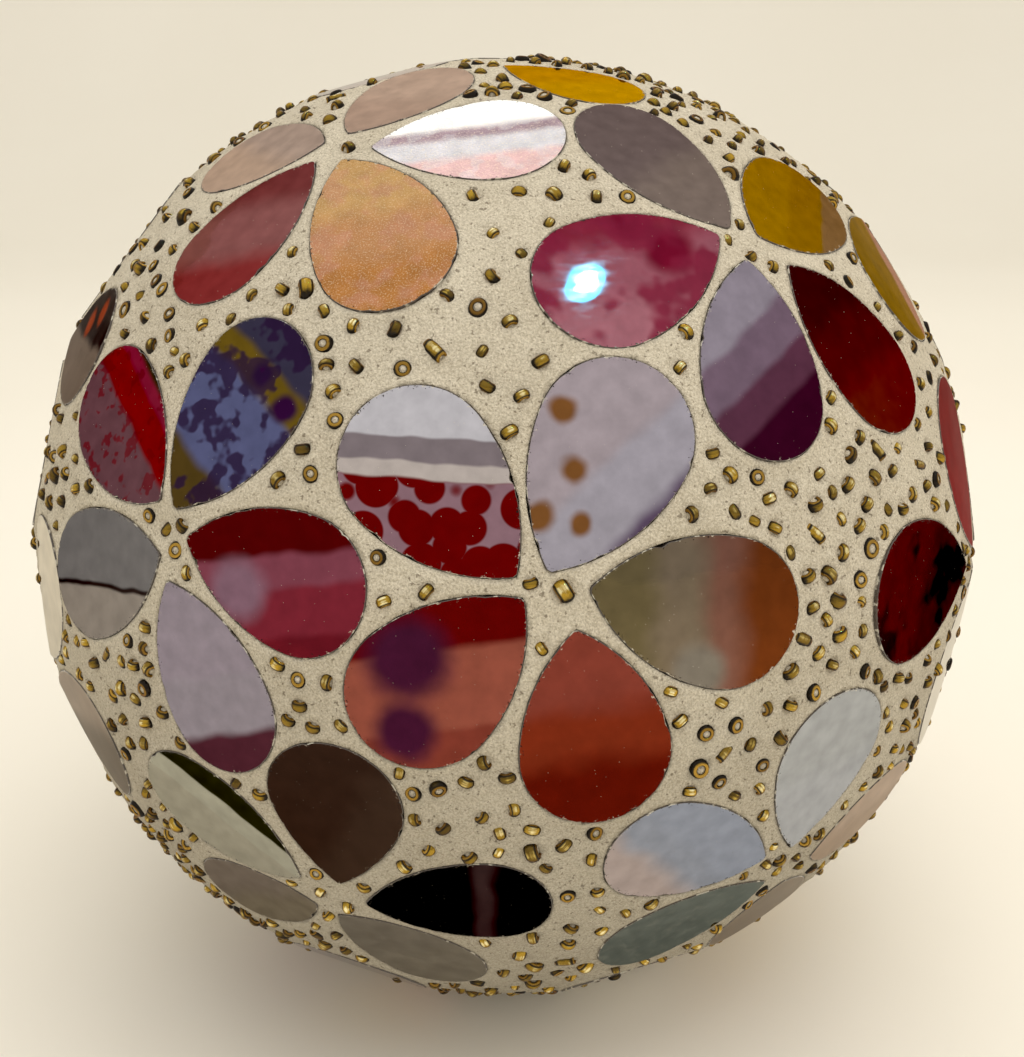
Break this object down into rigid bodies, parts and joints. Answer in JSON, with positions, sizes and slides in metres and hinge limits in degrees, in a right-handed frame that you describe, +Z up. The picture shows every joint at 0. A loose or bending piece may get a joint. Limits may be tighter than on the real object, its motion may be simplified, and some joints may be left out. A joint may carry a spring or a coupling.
{
  "type": "mosaic mirror ball",
  "caption": "Free-standing decorative ball with petal-shaped mirror pieces set as flowers in cream grout that is studded with gold glass beads.",
  "frame": {"origin": "centre of the felt pad's underside, on the surface that the ball stands on", "axes": "+Z up, -Y towards the front of the ball, +X to the right seen from the front"},
  "size_m": [0.1804, 0.1802, 0.1776],
  "materials": {
    "mirror_glass": "flat silvered glass petals, bright, in wine red, amber, mauve and silver tints",
    "grout": "matte sanded cream grout",
    "bead_glass": "gold-lined amber glass, glossy",
    "tile_adhesive": "matte white tile adhesive",
    "core_plastic": "matte moulded plastic",
    "felt": "dense wool felt"
  },
  "bodies": {
    "root": {"bugle_beads": "bead_glass", "core_lower_half": "core_plastic", "core_upper_half": "core_plastic", "felt_pad": "felt", "flower_01_petals": "mirror_glass", "flower_02_petals": "mirror_glass", "flower_03_petals": "mirror_glass", "flower_04_petals": "mirror_glass", "flower_05_petals": "mirror_glass", "flower_06_petals": "mirror_glass", "flower_07_petals": "mirror_glass", "flower_08_petals": "mirror_glass", "flower_09_petals": "mirror_glass", "flower_10_petals": "mirror_glass", "flower_11_petals": "mirror_glass", "flower_12_petals": "mirror_glass", "flower_13_petals": "mirror_glass", "flower_14_petals": "mirror_glass", "flower_15_petals": "mirror_glass", "flower_16_petals": "mirror_glass", "flower_17_petals": "mirror_glass", "flower_18_petals": "mirror_glass", "flower_19_petals": "mirror_glass", "flower_20_petals": "mirror_glass", "flower_21_petals": "mirror_glass", "flower_22_petals": "mirror_glass", "flower_23_petals": "mirror_glass", "flower_24_petals": "mirror_glass", "grout": "grout", "large_beads": "bead_glass", "petal_adhesive": "tile_adhesive", "small_beads_back": "bead_glass", "small_beads_front": "bead_glass", "small_beads_left": "bead_glass", "small_beads_right": "bead_glass"}
  },
  "joints": []
}
